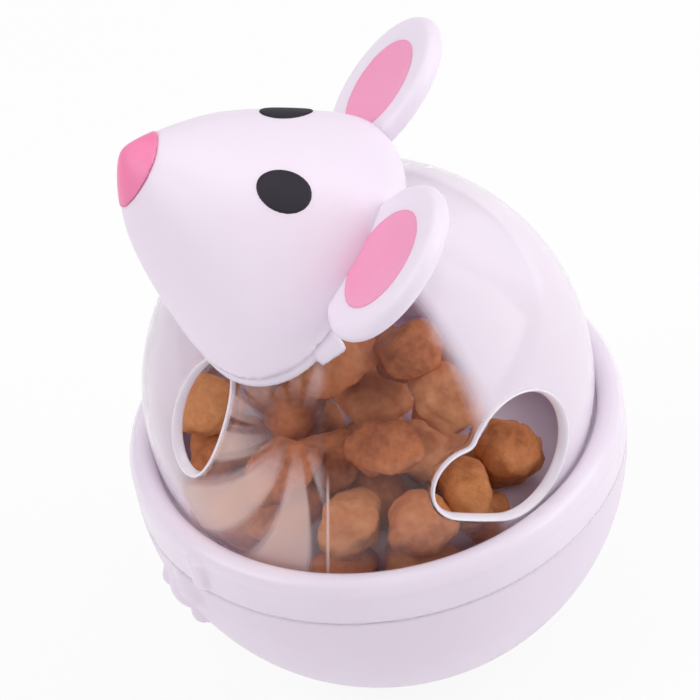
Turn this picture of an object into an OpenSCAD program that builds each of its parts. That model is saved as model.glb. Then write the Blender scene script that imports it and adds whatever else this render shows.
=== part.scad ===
// Treat dispensing mouse toy: a weighted bowl, a clear dome with treat outlets and a twist-on mouse head.
// The origin is the centre of the flat foot, +Z is up, the mouse faces -Y and its left side is +X.

/* [Bowl] */
// Outer radius of the ball-shaped body
body_r = 43; // [41:0.5:46]
// Radius of the flat foot
foot_r = 11; // [9:0.5:13]
// Wall of the bowl
bowl_wall = 2.2; // [1.8:0.1:2.6]
// Drop of the bowl's rim below its widest line
rim_drop = 1.5; // [1.3:0.1:2]
// Radius of the pedestal that carries the weight
pedestal_r = 13; // [10:0.5:15]
// Height of the pedestal
pedestal_h = 5; // [4.5:0.5:6]

/* [Paws] */
// Angle of each arm's shoulder knob from straight ahead
arm_angle = 46; // [40:1:52]
// Radius of the ball that makes the shoulder knob
knob_r = 3; // [2.4:0.1:3.4]
// Radius of the balls that make the arm and the hand
pad_r = 5; // [4:0.5:6]
// Radius of the ball that makes one toe
toe_r = 2.2; // [1.8:0.1:2.6]
// How far an arm, hand, toe or knob stands out of the body
paw_relief = 1.6; // [1:0.1:2]

/* [Weight and tray] */
// Radius of the counterweight
weight_r = 17; // [14:0.5:17.5]
// Thickness of the counterweight
weight_h = 10; // [6:0.5:12]
// Height of the middle of the tray above the foot
tray_top = 37; // [35:0.5:38]
// Radius of the tray's domed surface
tray_dome_r = 68; // [62:1:76]
// Thickness of the tray
tray_t = 2; // [1.6:0.1:2.6]
// Radius of the tray's middle post
post_r = 4.5; // [4:0.1:5.5]

/* [Screws] */
// Radius of a screw's shank
screw_r = 1.5; // [1.2:0.1:1.8]
// Radius of a screw's head
screw_head_r = 3.4; // [3:0.1:3.8]
// Height of a screw's head
screw_head_h = 2; // [1.6:0.1:2.4]
// Length of the base screw's shank
base_screw_l = 22; // [19:0.5:25]
// Length of the head screw's shank
head_screw_l = 10; // [8:0.5:11]

/* [Collar] */
// Height of the collar's lip above the widest line
lip_rise = 7.1; // [6.6:0.1:7.6]
// Radius of the round lip
lip_r = 2.25; // [2:0.05:2.4]
// Wall of the collar at the widest line
collar_wall = 2.2; // [2:0.1:2.6]

/* [Dome] */
// How much smaller the clear dome's radius is than the body's
dome_inset = 4.4; // [4.2:0.1:5]
// Height of the dome's centre above the widest line
dome_rise = 13.2; // [12:0.1:14]
// Wall of the dome
dome_wall = 1.8; // [1.5:0.1:2.1]
// Thickness of the flange under the collar's lip
flange_t = 1.6; // [1.3:0.1:1.7]
// Height of the lip that rims an outlet, on both faces of the wall
outlet_lip = 0.6; // [0.3:0.1:0.8]
// Width of the lip that rims an outlet
outlet_lip_w = 1.5; // [1:0.1:2]

/* [Outlets] */
// Width of a front outlet
front_w = 11.2; // [9:0.1:13]
// Height of a front outlet
front_h = 22.5; // [18:0.5:24]
// Angle of a front outlet from straight ahead
front_angle = 42; // [38:0.5:46]
// Elevation of a front outlet seen from the dome's centre
front_tilt = 25.5; // [23:0.5:28]
// Turn of a front outlet about its middle
front_roll = -10; // [-16:1:0]
// Radius of a rear outlet's small lobe
rear_small_r = 6.2; // [5.5:0.1:6.5]
// Radius of a rear outlet's large lobe
rear_large_r = 11; // [10:0.1:11.4]
// Distance between the two lobes' centres
rear_spread = 10.4; // [9:0.1:12]
// Angle of a rear outlet's large lobe from straight ahead
rear_angle = 133.5; // [128:0.5:138]
// Elevation of a rear outlet's large lobe
rear_tilt = 6.5; // [6:0.5:10]
// Turn of a rear outlet about its large lobe
rear_roll = -6.5; // [-12:0.5:0]

/* [Neck] */
// Forward lean of the neck
neck_lean = 21; // [17:1:24]
// Radius of the head's spigot
spigot_r = 13; // [11:0.5:14]
// Wall of the spigot
spigot_wall = 2.2; // [1.8:0.1:2.8]
// Depth of the neck boss's lower face under the dome's outer surface
boss_depth = 5.4; // [4.8:0.1:6]
// Width of the neck boss round the spigot
boss_w = 3.4; // [3.2:0.1:4]
// Thickness of the head's base plate
plate_t = 1.6; // [1.2:0.1:2]

/* [Twist locks] */
// Depth of a lug
lug_d = 1.1; // [0.8:0.1:1.2]
// Height of a bowl or collar lug
lug_h = 1.5; // [1.2:0.1:1.6]
// Width of a bowl or collar lug, as an angle
lug_angle = 26; // [18:1:30]
// Depth of a neck lug
neck_lug_d = 2.4; // [2:0.1:2.8]
// Width of a neck lug, as an angle
neck_lug_angle = 40; // [30:1:44]
// Turn of the head between locked and free
head_travel = 60; // [56:1:70]

/* [Head] */
// Wall of the head
head_wall = 2; // [1.6:0.1:2.4]
// Radius of an eye
eye_r = 4.2; // [3.4:0.1:4.8]
// Radius of an ear
ear_r = 12.8; // [11:0.1:14]
// Thickness of an ear
ear_t = 3.4; // [2.8:0.1:4]
// Backward lean of the ears from lying flat
ear_lean = 40; // [34:1:46]
// Radius of an ear's inlay
inlay_r = 8.8; // [7.5:0.1:10]
// Thickness of an ear's inlay
inlay_t = 0.8; // [0.6:0.1:1]
// Radius of the pegs that hold the ears and the nose
peg_r = 1.5; // [1.2:0.1:1.8]

/* [Treats] */
// Radius of a piece of kibble
kibble_r = 6.4; // [5:0.1:6.6]
// Thickness of a piece of kibble
kibble_t = 9; // [7:0.5:9.5]

/* [Hidden] */
// Gap between pieces that move past each other
move_gap = 0.3;
// Gap between fixed pieces that fit together
fit_gap = 0.05;
// Running clearance of the head's spigot in the neck, on the radius
run_gap = 0.08;
// Overlap that carries a cut past a face
past = 1;
$fn = 96;
hull_fn = 28;

// Clearance of a screw in a through hole, in the weight and round its head in the foot's pocket
hole_gap = 0.3;
weight_gap = 0.6;
pocket_gap = 0.6;
// Room past a screw's tip in its blind hole
tip_gap = 0.5;
// Set of the lip inside the body's ball, and of the flange under the lip's middle
lip_inset = 0.2;
lip_seat = 0.25;
// Set of a bowl lug below the rim's top, and a lug's root in its wall
lug_setback = 0.2;
lug_root = 0.4;
// Gap between the dome and the head's base plate
plate_gap = 0.4;

// Heights on the body's axis
body_z = sqrt(body_r * body_r - foot_r * foot_r);
bowl_in_r = body_r - bowl_wall;
dome_r = body_r - dome_inset;
dome_in_r = dome_r - dome_wall;
collar_bore_r = body_r - collar_wall;
rim_z = body_z - rim_drop;
lip_z = body_z + lip_rise - lip_r;
flange_top = lip_z - lip_seat;
flange_low = flange_top - flange_t;
spigot_top = flange_low - move_gap;
dome_z = body_z + dome_rise;
weight_top = pedestal_h + weight_h;
tray_z = tray_top - tray_dome_r;

// Bowl rim and twist lock of the collar
lip_in_r = body_r - lip_inset - 2 * lip_r;
rim_wall = 1.8;
rim_r = collar_bore_r - lug_d - move_gap;
rim_in_r = rim_r - rim_wall;
shelf_h = 3;
bowl_lug_top = spigot_top - lug_setback;
bowl_lug_low = bowl_lug_top - lug_h;
collar_lug_top = bowl_lug_low - move_gap;
collar_low = rim_z + move_gap;
lugs = 4;

// Front paws, as angle from the shoulder knob and elevation:
// arm and hand, the middle toe, the step between toes
pads = [[-7, -7], [-15, -15]];
toe_at = [-19.5, -21];
toe_step = [4.5, -3.5];
knob_tilt = 2.6;

// Foot screw pocket
pocket_r = screw_head_r + pocket_gap;
pocket_h = screw_head_h + pocket_gap;

// Neck, measured along the leaning neck axis from the dome's centre
boss_low = dome_r - boss_depth;
plate_in = dome_r + plate_gap;
plate_out = plate_in + plate_t;
head_screw_z = sqrt(plate_in * plate_in - screw_head_r * screw_head_r);
neck_lug_top = boss_low - move_gap;
neck_lug_h = 1.8;
neck_low = neck_lug_top - neck_lug_h;
neck_bore_r = spigot_r + run_gap;
boss_r = spigot_r + boss_w;
notch_slack = 4;

// Middle of the neck's seat on the dome, from which the head's features are measured
neck_seat = [0, -dome_r * sin(neck_lean), dome_z + dome_r * cos(neck_lean)];

// Balls whose hull is the head: half spacing across, forward or back, up, radius
head_balls = [
    [0, -16.5, 16.5, 2.8],
    [4, -12, 7, 7],
    [6, -3, 6.5, 11.5],
    [6, 14.5, 3.5, 11.5],
    [14.5, 3.5, -7.5, 14.5],
    [7, -7.5, -2.5, 9]
];
cheek_reach = head_balls[4][0] + head_balls[4][3];
nose_at = [0, -16, 15];
nose_pitch = 50;
nose_proud = 0.25;
peg_l = 5;
peg_cover = 2;

// Thumb tabs of the head's base plate, and the space in which the turning head passes
tab_w = 5;
tab_angle = 19;
tab_reach = cheek_reach - 1;
sweep_r = tab_reach + 2 * move_gap;

// Eyes and ears of the left side; the right side mirrors them
eye_at = [10.5, 7.5, 15];
eye_turn = [24, 10];
eye_depth = 1.15;
eye_proud = 0.5;
eye_crown_r = 12;
ear_at = [24, 23.5, 9];
inlay_shift = 0.1;
ear_root_r = head_balls[3][3];
ear_root_at = [head_balls[3][0], head_balls[3][1], head_balls[3][2]];
ear_step = ear_at - ear_root_at;
ear_root_turn = [0, acos(ear_step[2] / norm(ear_step)), atan2(ear_step[1], ear_step[0])];

// Kibble over the tray: layer, ring radius in pitches, first angle from the left side, step, pieces.
// A piece that settles between those under it has a lower layer number.
kibble_gap = 0.8;
kibble_pitch = 2 * kibble_r + kibble_gap;
kibble_rings = [
    [0, 0, 0, 0, 1],
    [0, 1, 0, 60, 6],
    [0, 2, -195, 30, 10],
    [1, 0, 0, 0, 1],
    [1, 1, -150, 60, 4],
    [1, 2, -165, 30, 9],
    [1.8, 1.5, -120, 120, 2],
    [2, 1.5, -80, 40, 2],
    [2, 1.5, 40, 0, 1],
    [2, 0.5, -90, 180, 2],
    [3, 0.75, -45, 90, 2]
];
layer_gap = 0.2;

// Places children on the body's ball, at an angle from straight ahead and an elevation
module on_body(angle, tilt, out) {
    translate([0, 0, body_z]) rotate([90 - tilt, 0, angle]) translate([0, 0, out]) children();
}

// Turns children so that +Z points out of the dome at an angle from straight ahead and an elevation
module on_dome(angle, tilt) {
    translate([0, 0, dome_z]) rotate([90 - tilt, 0, angle]) children();
}

// Turns children so that +Z is the leaning neck axis, from the dome's centre
module on_neck() {
    translate([0, 0, dome_z]) rotate([neck_lean, 0, 0]) children();
}

// Draws children on the left side and mirrored on the right side
module both_sides() {
    children();
    mirror([1, 0, 0]) children();
}

// Part of a ring between two radii, centred on an angle
module ring_lug(inner, outer, height, width, angle) {
    rotate([0, 0, angle - width / 2]) rotate_extrude(angle = width)
        translate([inner, 0]) square([outer - inner, height]);
}

// Hull of the head's balls, grown or shrunk by a distance
module head_form(grow) {
    translate(neck_seat) hull() for (b = head_balls, side = [1, -1])
        translate([side * b[0], b[1], b[2]]) sphere(r = b[3] + grow, $fn = hull_fn);
}

// Turns children so that +Z points out of the nose
module on_nose() {
    translate(neck_seat + nose_at) rotate([nose_pitch, 0, 0]) children();
}

// Turns children so that +Z points out of the left eye
module on_eye() {
    translate(neck_seat + eye_at) rotate([-eye_turn[1], eye_turn[0], 0]) children();
}

// Turns children so that +Z points out of the front of the left ear
module on_ear() {
    translate(neck_seat + ear_at) rotate([ear_lean, 0, 0]) children();
}

// Peg of the left ear, from inside the ear into the head
module ear_peg(r) {
    translate(neck_seat + ear_root_at) rotate(ear_root_turn)
        translate([0, 0, ear_root_r - head_wall - past])
            cylinder(r = r, h = norm(ear_step) - ear_root_r + head_wall - peg_cover);
}

// Round disc with a half-round edge, centred on its middle plane
module soft_disc(r, t) {
    rotate_extrude() {
        translate([0, -t / 2]) square([r - t / 2, t]);
        intersection() {
            translate([r - t / 2, 0]) circle(d = t);
            translate([0, -t]) square([r + t, 2 * t]);
        }
    }
}

// Screw with a domed pan head at the origin and a shank along +Z
module pan_screw(length) {
    crown_r = screw_head_r * 1.2;
    slot_l = screw_head_r * 1.2;
    slot_w = 0.8;
    slot_d = 0.9;
    cylinder(r = screw_r, h = length);
    difference() {
        intersection() {
            translate([0, 0, -screw_head_h]) cylinder(r = screw_head_r, h = screw_head_h);
            translate([0, 0, crown_r - screw_head_h]) sphere(r = crown_r);
        }
        for (turn = [0, 90]) rotate([0, 0, turn])
            translate([-slot_l / 2, -slot_w / 2, -screw_head_h - past])
                cube([slot_l, slot_w, past + slot_d]);
    }
}

// Oval outline of a front outlet, grown by a distance
module front_outline(grow) {
    polygon([for (a = [0:7.5:359]) [(front_w / 2 + grow) * cos(a), (front_h / 2 + grow) * sin(a)]]);
}

// Two-lobed outline of a rear outlet, grown by a distance: round lobes joined by a straight lower edge
module rear_outline(grow) {
    lean = asin((rear_large_r - rear_small_r) / rear_spread);
    down = [-sin(lean), -cos(lean)];
    small_at = [-rear_spread, 0];
    translate(small_at) circle(r = rear_small_r + grow);
    circle(r = rear_large_r + grow);
    polygon([
        small_at,
        small_at + (rear_small_r + grow) * down,
        (rear_large_r + grow) * down,
        [0, 0]
    ]);
}

// Prism through the dome's wall under an outlet's outline
module outlet_front(grow) {
    on_dome(front_angle, front_tilt) translate([0, 0, dome_r / 2])
        linear_extrude(height = dome_r) rotate([0, 0, front_roll]) front_outline(grow);
}

module outlet_rear(grow) {
    on_dome(rear_angle, rear_tilt) translate([0, 0, dome_r / 2])
        linear_extrude(height = dome_r) rotate([0, 0, rear_roll]) rear_outline(grow);
}

module base_bowl() {
    color("#E9DDEB") difference() {
        union() {
            // Ball-shaped shell, flat at the foot and open at the rim
            difference() {
                intersection() {
                    translate([0, 0, body_z]) sphere(r = body_r);
                    cylinder(r = body_r, h = rim_z);
                }
                difference() {
                    translate([0, 0, body_z]) sphere(r = bowl_in_r);
                    translate([0, 0, rim_z - shelf_h]) difference() {
                        cylinder(r = body_r, h = body_r);
                        translate([0, 0, -past]) cylinder(r = rim_in_r, h = body_r + 2 * past);
                    }
                    cylinder(r = pedestal_r, h = pedestal_h);
                }
            }
            // Rim that stands up inside the collar, with its lugs
            translate([0, 0, rim_z - shelf_h / 2]) difference() {
                cylinder(r = rim_r, h = spigot_top - rim_z + shelf_h / 2);
                translate([0, 0, -past]) cylinder(r = rim_in_r, h = body_r);
            }
            for (i = [0:lugs - 1]) translate([0, 0, bowl_lug_low])
                ring_lug(rim_r - lug_root, rim_r + lug_d, lug_h, lug_angle, i * 360 / lugs);
            // Front paws: an arm that runs forward and down to a hand with three toes
            both_sides() intersection() {
                union() {
                    for (pad = pads)
                        on_body(arm_angle + pad[0], pad[1], body_r + paw_relief - pad_r) sphere(r = pad_r);
                    for (i = [-1:1]) {
                        toe = toe_at + i * toe_step;
                        on_body(arm_angle + toe[0], toe[1], body_r + paw_relief - toe_r) sphere(r = toe_r);
                    }
                }
                difference() {
                    cylinder(r = body_r + pad_r, h = rim_z);
                    translate([0, 0, body_z]) sphere(r = body_r - bowl_wall / 2);
                }
            }
        }
        // Pocket and hole of the base screw
        translate([0, 0, -past]) cylinder(r = pocket_r, h = pocket_h + past);
        cylinder(r = screw_r + hole_gap, h = body_r);
    }
}

module counterweight() {
    color("#8C8F94") translate([0, 0, pedestal_h]) difference() {
        cylinder(r = weight_r, h = weight_h);
        translate([0, 0, -past]) cylinder(r = screw_r + weight_gap, h = weight_h + 2 * past);
    }
}

module treat_tray() {
    color("#F1E9F3") difference() {
        union() {
            intersection() {
                difference() {
                    translate([0, 0, tray_z]) sphere(r = tray_dome_r, $fn = 192);
                    translate([0, 0, tray_z]) sphere(r = tray_dome_r - tray_t, $fn = 192);
                }
                translate([0, 0, body_z]) sphere(r = bowl_in_r - fit_gap);
                translate([0, 0, weight_top]) cylinder(r = rim_in_r - move_gap, h = tray_top);
            }
            translate([0, 0, weight_top]) cylinder(r = post_r, h = tray_top - weight_top - tray_t / 2);
        }
        translate([0, 0, weight_top - past])
            cylinder(r = screw_r + fit_gap, h = pocket_h + base_screw_l - weight_top + past + tip_gap);
    }
}

module base_screw() {
    color("#A9ACB0") translate([0, 0, pocket_h]) pan_screw(base_screw_l);
}

module treats() {
    color("#9B6247") for (ring = kibble_rings) {
        height = kibble_t / 2 + fit_gap + ring[0] * (kibble_t + layer_gap);
        lean = asin(ring[1] * kibble_pitch / (tray_dome_r + height));
        for (i = [0:ring[4] - 1])
            translate([0, 0, tray_z]) rotate([0, 0, ring[2] + i * ring[3]]) rotate([0, lean, 0])
                translate([0, 0, tray_dome_r + height]) soft_disc(kibble_r, kibble_t);
    }
}

module collar_ring() {
    color("#EEE4F0") {
        difference() {
            union() {
                rotate_extrude() difference() {
                    union() {
                        intersection() {
                            translate([0, body_z]) circle(r = body_r);
                            translate([lip_in_r + lip_r, collar_low])
                                square([body_r, lip_z - collar_low]);
                        }
                        translate([lip_in_r + lip_r, lip_z]) circle(r = lip_r);
                    }
                    translate([0, collar_low - past])
                        square([collar_bore_r, flange_top - collar_low + past]);
                }
                // Shoulder knob over each arm
                both_sides() intersection() {
                    on_body(arm_angle, knob_tilt, body_r + paw_relief - knob_r) sphere(r = knob_r);
                    translate([0, 0, collar_low]) cylinder(r = body_r + pad_r, h = body_r);
                }
            }
            translate([0, 0, collar_low - past])
                cylinder(r = collar_bore_r, h = flange_top - collar_low + past);
        }
        for (i = [0:lugs - 1]) translate([0, 0, collar_low])
            ring_lug(collar_bore_r - lug_d, collar_bore_r + lug_root, collar_lug_top - collar_low,
                lug_angle, i * 360 / lugs);
    }
}

module clear_dome() {
    color("#F4F2F6", 0.4) difference() {
        union() {
            // Spherical shell with a flange at its foot
            difference() {
                intersection() {
                    translate([0, 0, dome_z]) sphere(r = dome_r);
                    translate([0, 0, flange_low]) cylinder(r = dome_r + past, h = 2 * dome_r);
                }
                translate([0, 0, dome_z]) sphere(r = dome_in_r);
            }
            translate([0, 0, flange_low]) difference() {
                cylinder(r = collar_bore_r - move_gap, h = flange_t);
                translate([0, 0, -past]) cylinder(r = dome_in_r, h = flange_t + 2 * past);
            }
            // Thicker lip round each outlet
            both_sides() intersection() {
                union() {
                    outlet_front(outlet_lip_w);
                    outlet_rear(outlet_lip_w);
                }
                difference() {
                    translate([0, 0, dome_z]) sphere(r = dome_r + outlet_lip);
                    translate([0, 0, dome_z]) sphere(r = dome_in_r - outlet_lip);
                    // Flush where the turning head passes
                    on_neck() difference() {
                        cylinder(r = sweep_r, h = 2 * dome_r);
                        sphere(r = dome_r - dome_wall / 2);
                    }
                }
                translate([0, 0, lip_z + lip_r + move_gap]) cylinder(r = dome_r + past, h = 2 * dome_r);
            }
            // Boss that carries the head's spigot
            on_neck() intersection() {
                translate([0, 0, boss_low]) cylinder(r = boss_r, h = dome_r);
                sphere(r = dome_r);
            }
        }
        both_sides() {
            outlet_front(0);
            outlet_rear(0);
        }
        // Neck bore, with a notch for each lug of the head
        on_neck() {
            translate([0, 0, boss_low - past]) cylinder(r = neck_bore_r, h = dome_r);
            for (i = [0:1]) translate([0, 0, boss_low - past])
                ring_lug(neck_bore_r - past, spigot_r + neck_lug_d + move_gap, dome_r,
                    neck_lug_angle + notch_slack, head_travel + i * 180);
        }
    }
}

module head_base() {
    color("#EDE3F0") {
        difference() {
            union() {
                // Plate that follows the dome under the head's outline, with a thumb tab on each side
                intersection() {
                    union() {
                        head_form(0);
                        both_sides() on_neck() rotate([0, 0, tab_angle])
                            translate([spigot_r, -tab_w / 2, 0])
                                cube([tab_reach - spigot_r, tab_w, dome_r + past]);
                    }
                    difference() {
                        translate([0, 0, dome_z]) sphere(r = plate_out);
                        translate([0, 0, dome_z]) sphere(r = plate_in);
                    }
                }
                // Spigot in the neck, with its lugs
                on_neck() {
                    intersection() {
                        translate([0, 0, neck_low]) cylinder(r = spigot_r, h = dome_r);
                        sphere(r = plate_out);
                    }
                    for (i = [0:1]) translate([0, 0, neck_low])
                        ring_lug(spigot_r - past, spigot_r + neck_lug_d, neck_lug_h,
                            neck_lug_angle, i * 180);
                }
            }
            on_neck() {
                intersection() {
                    translate([0, 0, neck_low - past]) cylinder(r = spigot_r - spigot_wall, h = dome_r);
                    sphere(r = plate_in);
                }
                cylinder(r = screw_r + hole_gap, h = 2 * dome_r);
            }
        }
    }
}

module head_screw() {
    color("#A9ACB0") on_neck() translate([0, 0, head_screw_z]) pan_screw(head_screw_l + plate_t);
}

module head_shell() {
    color("#F3EAF6") difference() {
        intersection() {
            head_form(0);
            on_nose() mirror([0, 0, 1]) cylinder(r = body_r, h = 2 * body_r);
        }
        // Hollow inside, leaving the screw post and a wall behind the nose
        difference() {
            intersection() {
                head_form(-head_wall);
                on_nose() translate([0, 0, -head_wall]) mirror([0, 0, 1])
                    cylinder(r = body_r, h = 2 * body_r);
            }
            on_neck() cylinder(r = post_r, h = 2 * dome_r);
        }
        translate([0, 0, dome_z]) sphere(r = plate_out);
        on_neck() cylinder(r = screw_r + fit_gap, h = plate_out + head_screw_l + tip_gap);
        both_sides() {
            on_eye() translate([0, 0, -eye_depth - fit_gap])
                cylinder(r = eye_r + fit_gap, h = eye_crown_r);
            ear_peg(peg_r + fit_gap);
        }
        on_nose() translate([0, 0, -peg_l]) cylinder(r = peg_r + fit_gap, h = peg_l + past);
    }
}

module nose_tip() {
    color("#FC80B0") {
        intersection() {
            head_form(nose_proud);
            on_nose() cylinder(r = body_r, h = body_r);
        }
        on_nose() translate([0, 0, -peg_l + fit_gap]) cylinder(r = peg_r, h = peg_l + past);
    }
}

// Domed button of one eye
module eye() {
    color("#3C3442") on_eye() intersection() {
        translate([0, 0, -eye_depth]) cylinder(r = eye_r, h = eye_crown_r);
        translate([0, 0, eye_proud - eye_crown_r]) sphere(r = eye_crown_r);
    }
}

module eye_left() {
    eye();
}

module eye_right() {
    mirror([1, 0, 0]) eye();
}

// Recess for the inlay in the front of the left ear
module inlay_recess() {
    on_ear() translate([0, inlay_shift, ear_t / 2 - inlay_t]) cylinder(r = inlay_r + fit_gap, h = ear_t);
}

// One ear: a soft disc, hollowed in front for its inlay and shaped to the head where it meets it
module ear() {
    color("#F6EFF8") {
        difference() {
            on_ear() soft_disc(ear_r, ear_t);
            inlay_recess();
            head_form(fit_gap);
        }
        difference() {
            ear_peg(peg_r);
            inlay_recess();
        }
    }
}

module ear_left() {
    ear();
}

module ear_right() {
    mirror([1, 0, 0]) ear();
}

// Pink disc that lies in the ear's front
module ear_inlay() {
    color("#FA9EC4") difference() {
        on_ear() translate([0, inlay_shift, ear_t / 2 - inlay_t]) cylinder(r = inlay_r, h = inlay_t);
        head_form(fit_gap);
    }
}

module ear_inlay_left() {
    ear_inlay();
}

module ear_inlay_right() {
    mirror([1, 0, 0]) ear_inlay();
}

base_bowl();
counterweight();
treat_tray();
base_screw();
treats();
collar_ring();
clear_dome();
head_base();
head_screw();
head_shell();
nose_tip();
eye_left();
eye_right();
ear_left();
ear_right();
ear_inlay_left();
ear_inlay_right();
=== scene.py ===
import math
import bmesh
import bpy
import numpy as np
import openvdb
from mathutils import Matrix, Vector, noise


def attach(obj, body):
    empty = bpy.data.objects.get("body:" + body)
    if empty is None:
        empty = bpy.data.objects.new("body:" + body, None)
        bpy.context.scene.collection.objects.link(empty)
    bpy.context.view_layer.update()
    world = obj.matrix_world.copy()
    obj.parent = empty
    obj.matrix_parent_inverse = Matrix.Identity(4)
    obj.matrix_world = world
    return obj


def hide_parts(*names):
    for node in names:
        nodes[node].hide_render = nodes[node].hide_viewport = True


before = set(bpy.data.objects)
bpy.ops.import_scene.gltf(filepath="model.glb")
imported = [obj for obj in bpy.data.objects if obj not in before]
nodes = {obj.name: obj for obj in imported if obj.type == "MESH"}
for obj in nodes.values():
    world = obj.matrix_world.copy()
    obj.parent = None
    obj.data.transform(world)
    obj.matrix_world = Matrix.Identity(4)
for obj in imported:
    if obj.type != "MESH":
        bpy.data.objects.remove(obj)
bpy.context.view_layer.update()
mm = 0.001  # the shapes below are in millimetres, Blender is in metres


# Small helpers: fields are distances in mm, negative inside
def lengthOf(*parts):
    return np.sqrt(sum(part * part for part in parts))


def softMin(a, b, blend):
    mix = np.clip(0.5 + 0.5 * (b - a) / blend, 0, 1)
    return b + (a - b) * mix - blend * mix * (1 - mix)


def softMax(a, b, blend):
    return -softMin(-a, -b, blend)


def ringLug(rho, angle, z, inner, outer, low, high, width, centre, turns):
    # part of a ring, repeated round the axis
    pitch = 360 / turns
    away = np.abs((np.degrees(angle) - centre + pitch / 2) % pitch - pitch / 2) - width / 2
    return np.maximum.reduce([inner - rho, rho - outer, low - z, z - high, np.radians(away) * rho])


def skinField(name, field, low, high, cell, pulls=3):
    # samples the field on a grid, skins its zero level, then pulls the skin onto the exact surface
    axes = [np.arange(a, b + cell, cell) for a, b in zip(low, high)]
    values = np.empty([len(axis) for axis in axes], np.float32)
    for i, x in enumerate(axes[0]):
        sheet = np.stack(np.meshgrid([x], axes[1], axes[2], indexing="ij"), -1)
        values[i] = field(sheet)[0]
    grid = openvdb.FloatGrid(4 * cell)
    grid.copyFromArray(np.clip(values, -4 * cell, 4 * cell))
    points, quads = grid.convertToQuads(0)
    points = points.astype(float) * cell + np.array([axis[0] for axis in axes])
    reach = 0.02
    for pull in range(pulls):
        away = field(points)
        slope = np.stack([field(points + reach * step) - field(points - reach * step)
                          for step in np.eye(3)], -1)
        slope /= 2 * reach
        move = (away / np.maximum((slope * slope).sum(-1), 0.2))[:, None] * slope
        points -= np.clip(move, -cell, cell)
    return meshPiece(name, points, quads)


def meshPiece(name, points, faces):
    mesh = bpy.data.meshes.new(name)
    mesh.from_pydata((np.asarray(points) * mm).tolist(), [], np.asarray(faces).tolist())
    mesh.validate()
    mesh.polygons.foreach_set("use_smooth", [True] * len(mesh.polygons))
    piece = bpy.data.objects.new(name, mesh)
    bpy.context.scene.collection.objects.link(piece)
    return piece


def mirrorPiece(piece, name):
    # copy of a left piece on the right side, with its faces turned back outwards
    mesh = piece.data.copy()
    mesh.transform(Matrix.Diagonal((-1, 1, 1, 1)))
    mesh.flip_normals()
    copy = bpy.data.objects.new(name, mesh)
    bpy.context.scene.collection.objects.link(copy)
    return copy


def dress(piece, body, node, material):
    # rides the CAD body, stands for the CAD node and takes its finish
    piece.data.materials.clear()
    piece.data.materials.append(material)
    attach(piece, body)
    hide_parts(node)


# Materials
def linearColour(hexText):
    shares = [int(hexText[i:i + 2], 16) / 255 for i in (1, 3, 5)]
    return [s / 12.92 if s <= 0.04045 else ((s + 0.055) / 1.055) ** 2.4 for s in shares] + [1]


def addNode(tree, kind, inputs=None, **settings):
    node = tree.nodes.new(kind)
    for key, value in settings.items():
        setattr(node, key, value)
    for key, value in (inputs or {}).items():
        if isinstance(value, bpy.types.NodeSocket):
            tree.links.new(value, node.inputs[key])
        else:
            node.inputs[key].default_value = value
    return node


def startMaterial(name):
    material = bpy.data.materials.new(name)
    material.use_nodes = True
    material.node_tree.nodes.clear()
    return material, material.node_tree


def perMm(size):
    return 1000 / size  # texture scale at which one feature is about this many mm


def mouldedPlastic(name, finish):
    # injection-moulded plastic: a faint cloud of colour where the melt cooled,
    # and a fine skin that softens highlights
    material, tree = startMaterial(name)
    place = addNode(tree, "ShaderNodeTexCoord").outputs["Object"]
    cloud = addNode(tree, "ShaderNodeTexNoise",
                    {"Vector": place, "Scale": perMm(finish["cloudMm"]), "Detail": 3})
    skin = addNode(tree, "ShaderNodeTexNoise",
                   {"Vector": place, "Scale": perMm(finish["skinMm"]), "Detail": 2})
    tint = addNode(tree, "ShaderNodeMix", {0: cloud.outputs["Fac"], 6: linearColour(finish["light"]),
                                           7: linearColour(finish["deep"])}, data_type="RGBA")
    gloss = addNode(tree, "ShaderNodeMapRange",
                    {"Value": skin.outputs["Fac"], "To Min": finish["rough"] - 0.04,
                                                 "To Max": finish["rough"] + 0.04})
    bump = addNode(tree, "ShaderNodeBump", {"Height": skin.outputs["Fac"], "Strength": finish["skinDepth"],
                                            "Distance": 0.05 * mm})
    shader = addNode(tree, "ShaderNodeBsdfPrincipled", {
        "Base Color": tint.outputs[2], "Roughness": gloss.outputs[0], "Normal": bump.outputs[0],
        "IOR": finish["ior"],
        "Subsurface Weight": finish["glow"], "Subsurface Radius": (1, 0.85, 0.95),
        "Subsurface Scale": 2.5 * mm})
    addNode(tree, "ShaderNodeOutputMaterial", {"Surface": shader.outputs[0]})
    return material


bowlFinish = {"light": "#F0E6F2", "deep": "#E7DBE9", "cloudMm": 26, "skinMm": 1.6, "skinDepth": 0.12,
              "rough": 0.36, "ior": 1.49, "glow": 0.35}  # polypropylene: waxy, pale, lets a little light in
collarFinish = {"light": "#F4EBF6", "deep": "#ECE1EE", "cloudMm": 22, "skinMm": 1.4, "skinDepth": 0.08,
                "rough": 0.24, "ior": 1.49, "glow": 0.35}  # same stuff, polished in the mould
headFinish = {"light": "#F7ECF8", "deep": "#F2E5F3", "cloudMm": 30, "skinMm": 1.2, "skinDepth": 0.1,
              "rough": 0.42, "ior": 1.53, "glow": 0.15}  # ABS with a satin tool finish
earFinish = {"light": "#F7EEF9", "deep": "#F1E6F4", "cloudMm": 18, "skinMm": 1.2, "skinDepth": 0.1,
             "rough": 0.45, "ior": 1.53, "glow": 0.2}
plateFinish = {"light": "#F3EAF5", "deep": "#EBE0EE", "cloudMm": 20, "skinMm": 1.2, "skinDepth": 0.08,
               "rough": 0.3, "ior": 1.53, "glow": 0.2}
trayFinish = {"light": "#F3EBF4", "deep": "#EADFEC", "cloudMm": 20, "skinMm": 1.4, "skinDepth": 0.1,
              "rough": 0.4, "ior": 1.49, "glow": 0.15}
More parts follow.
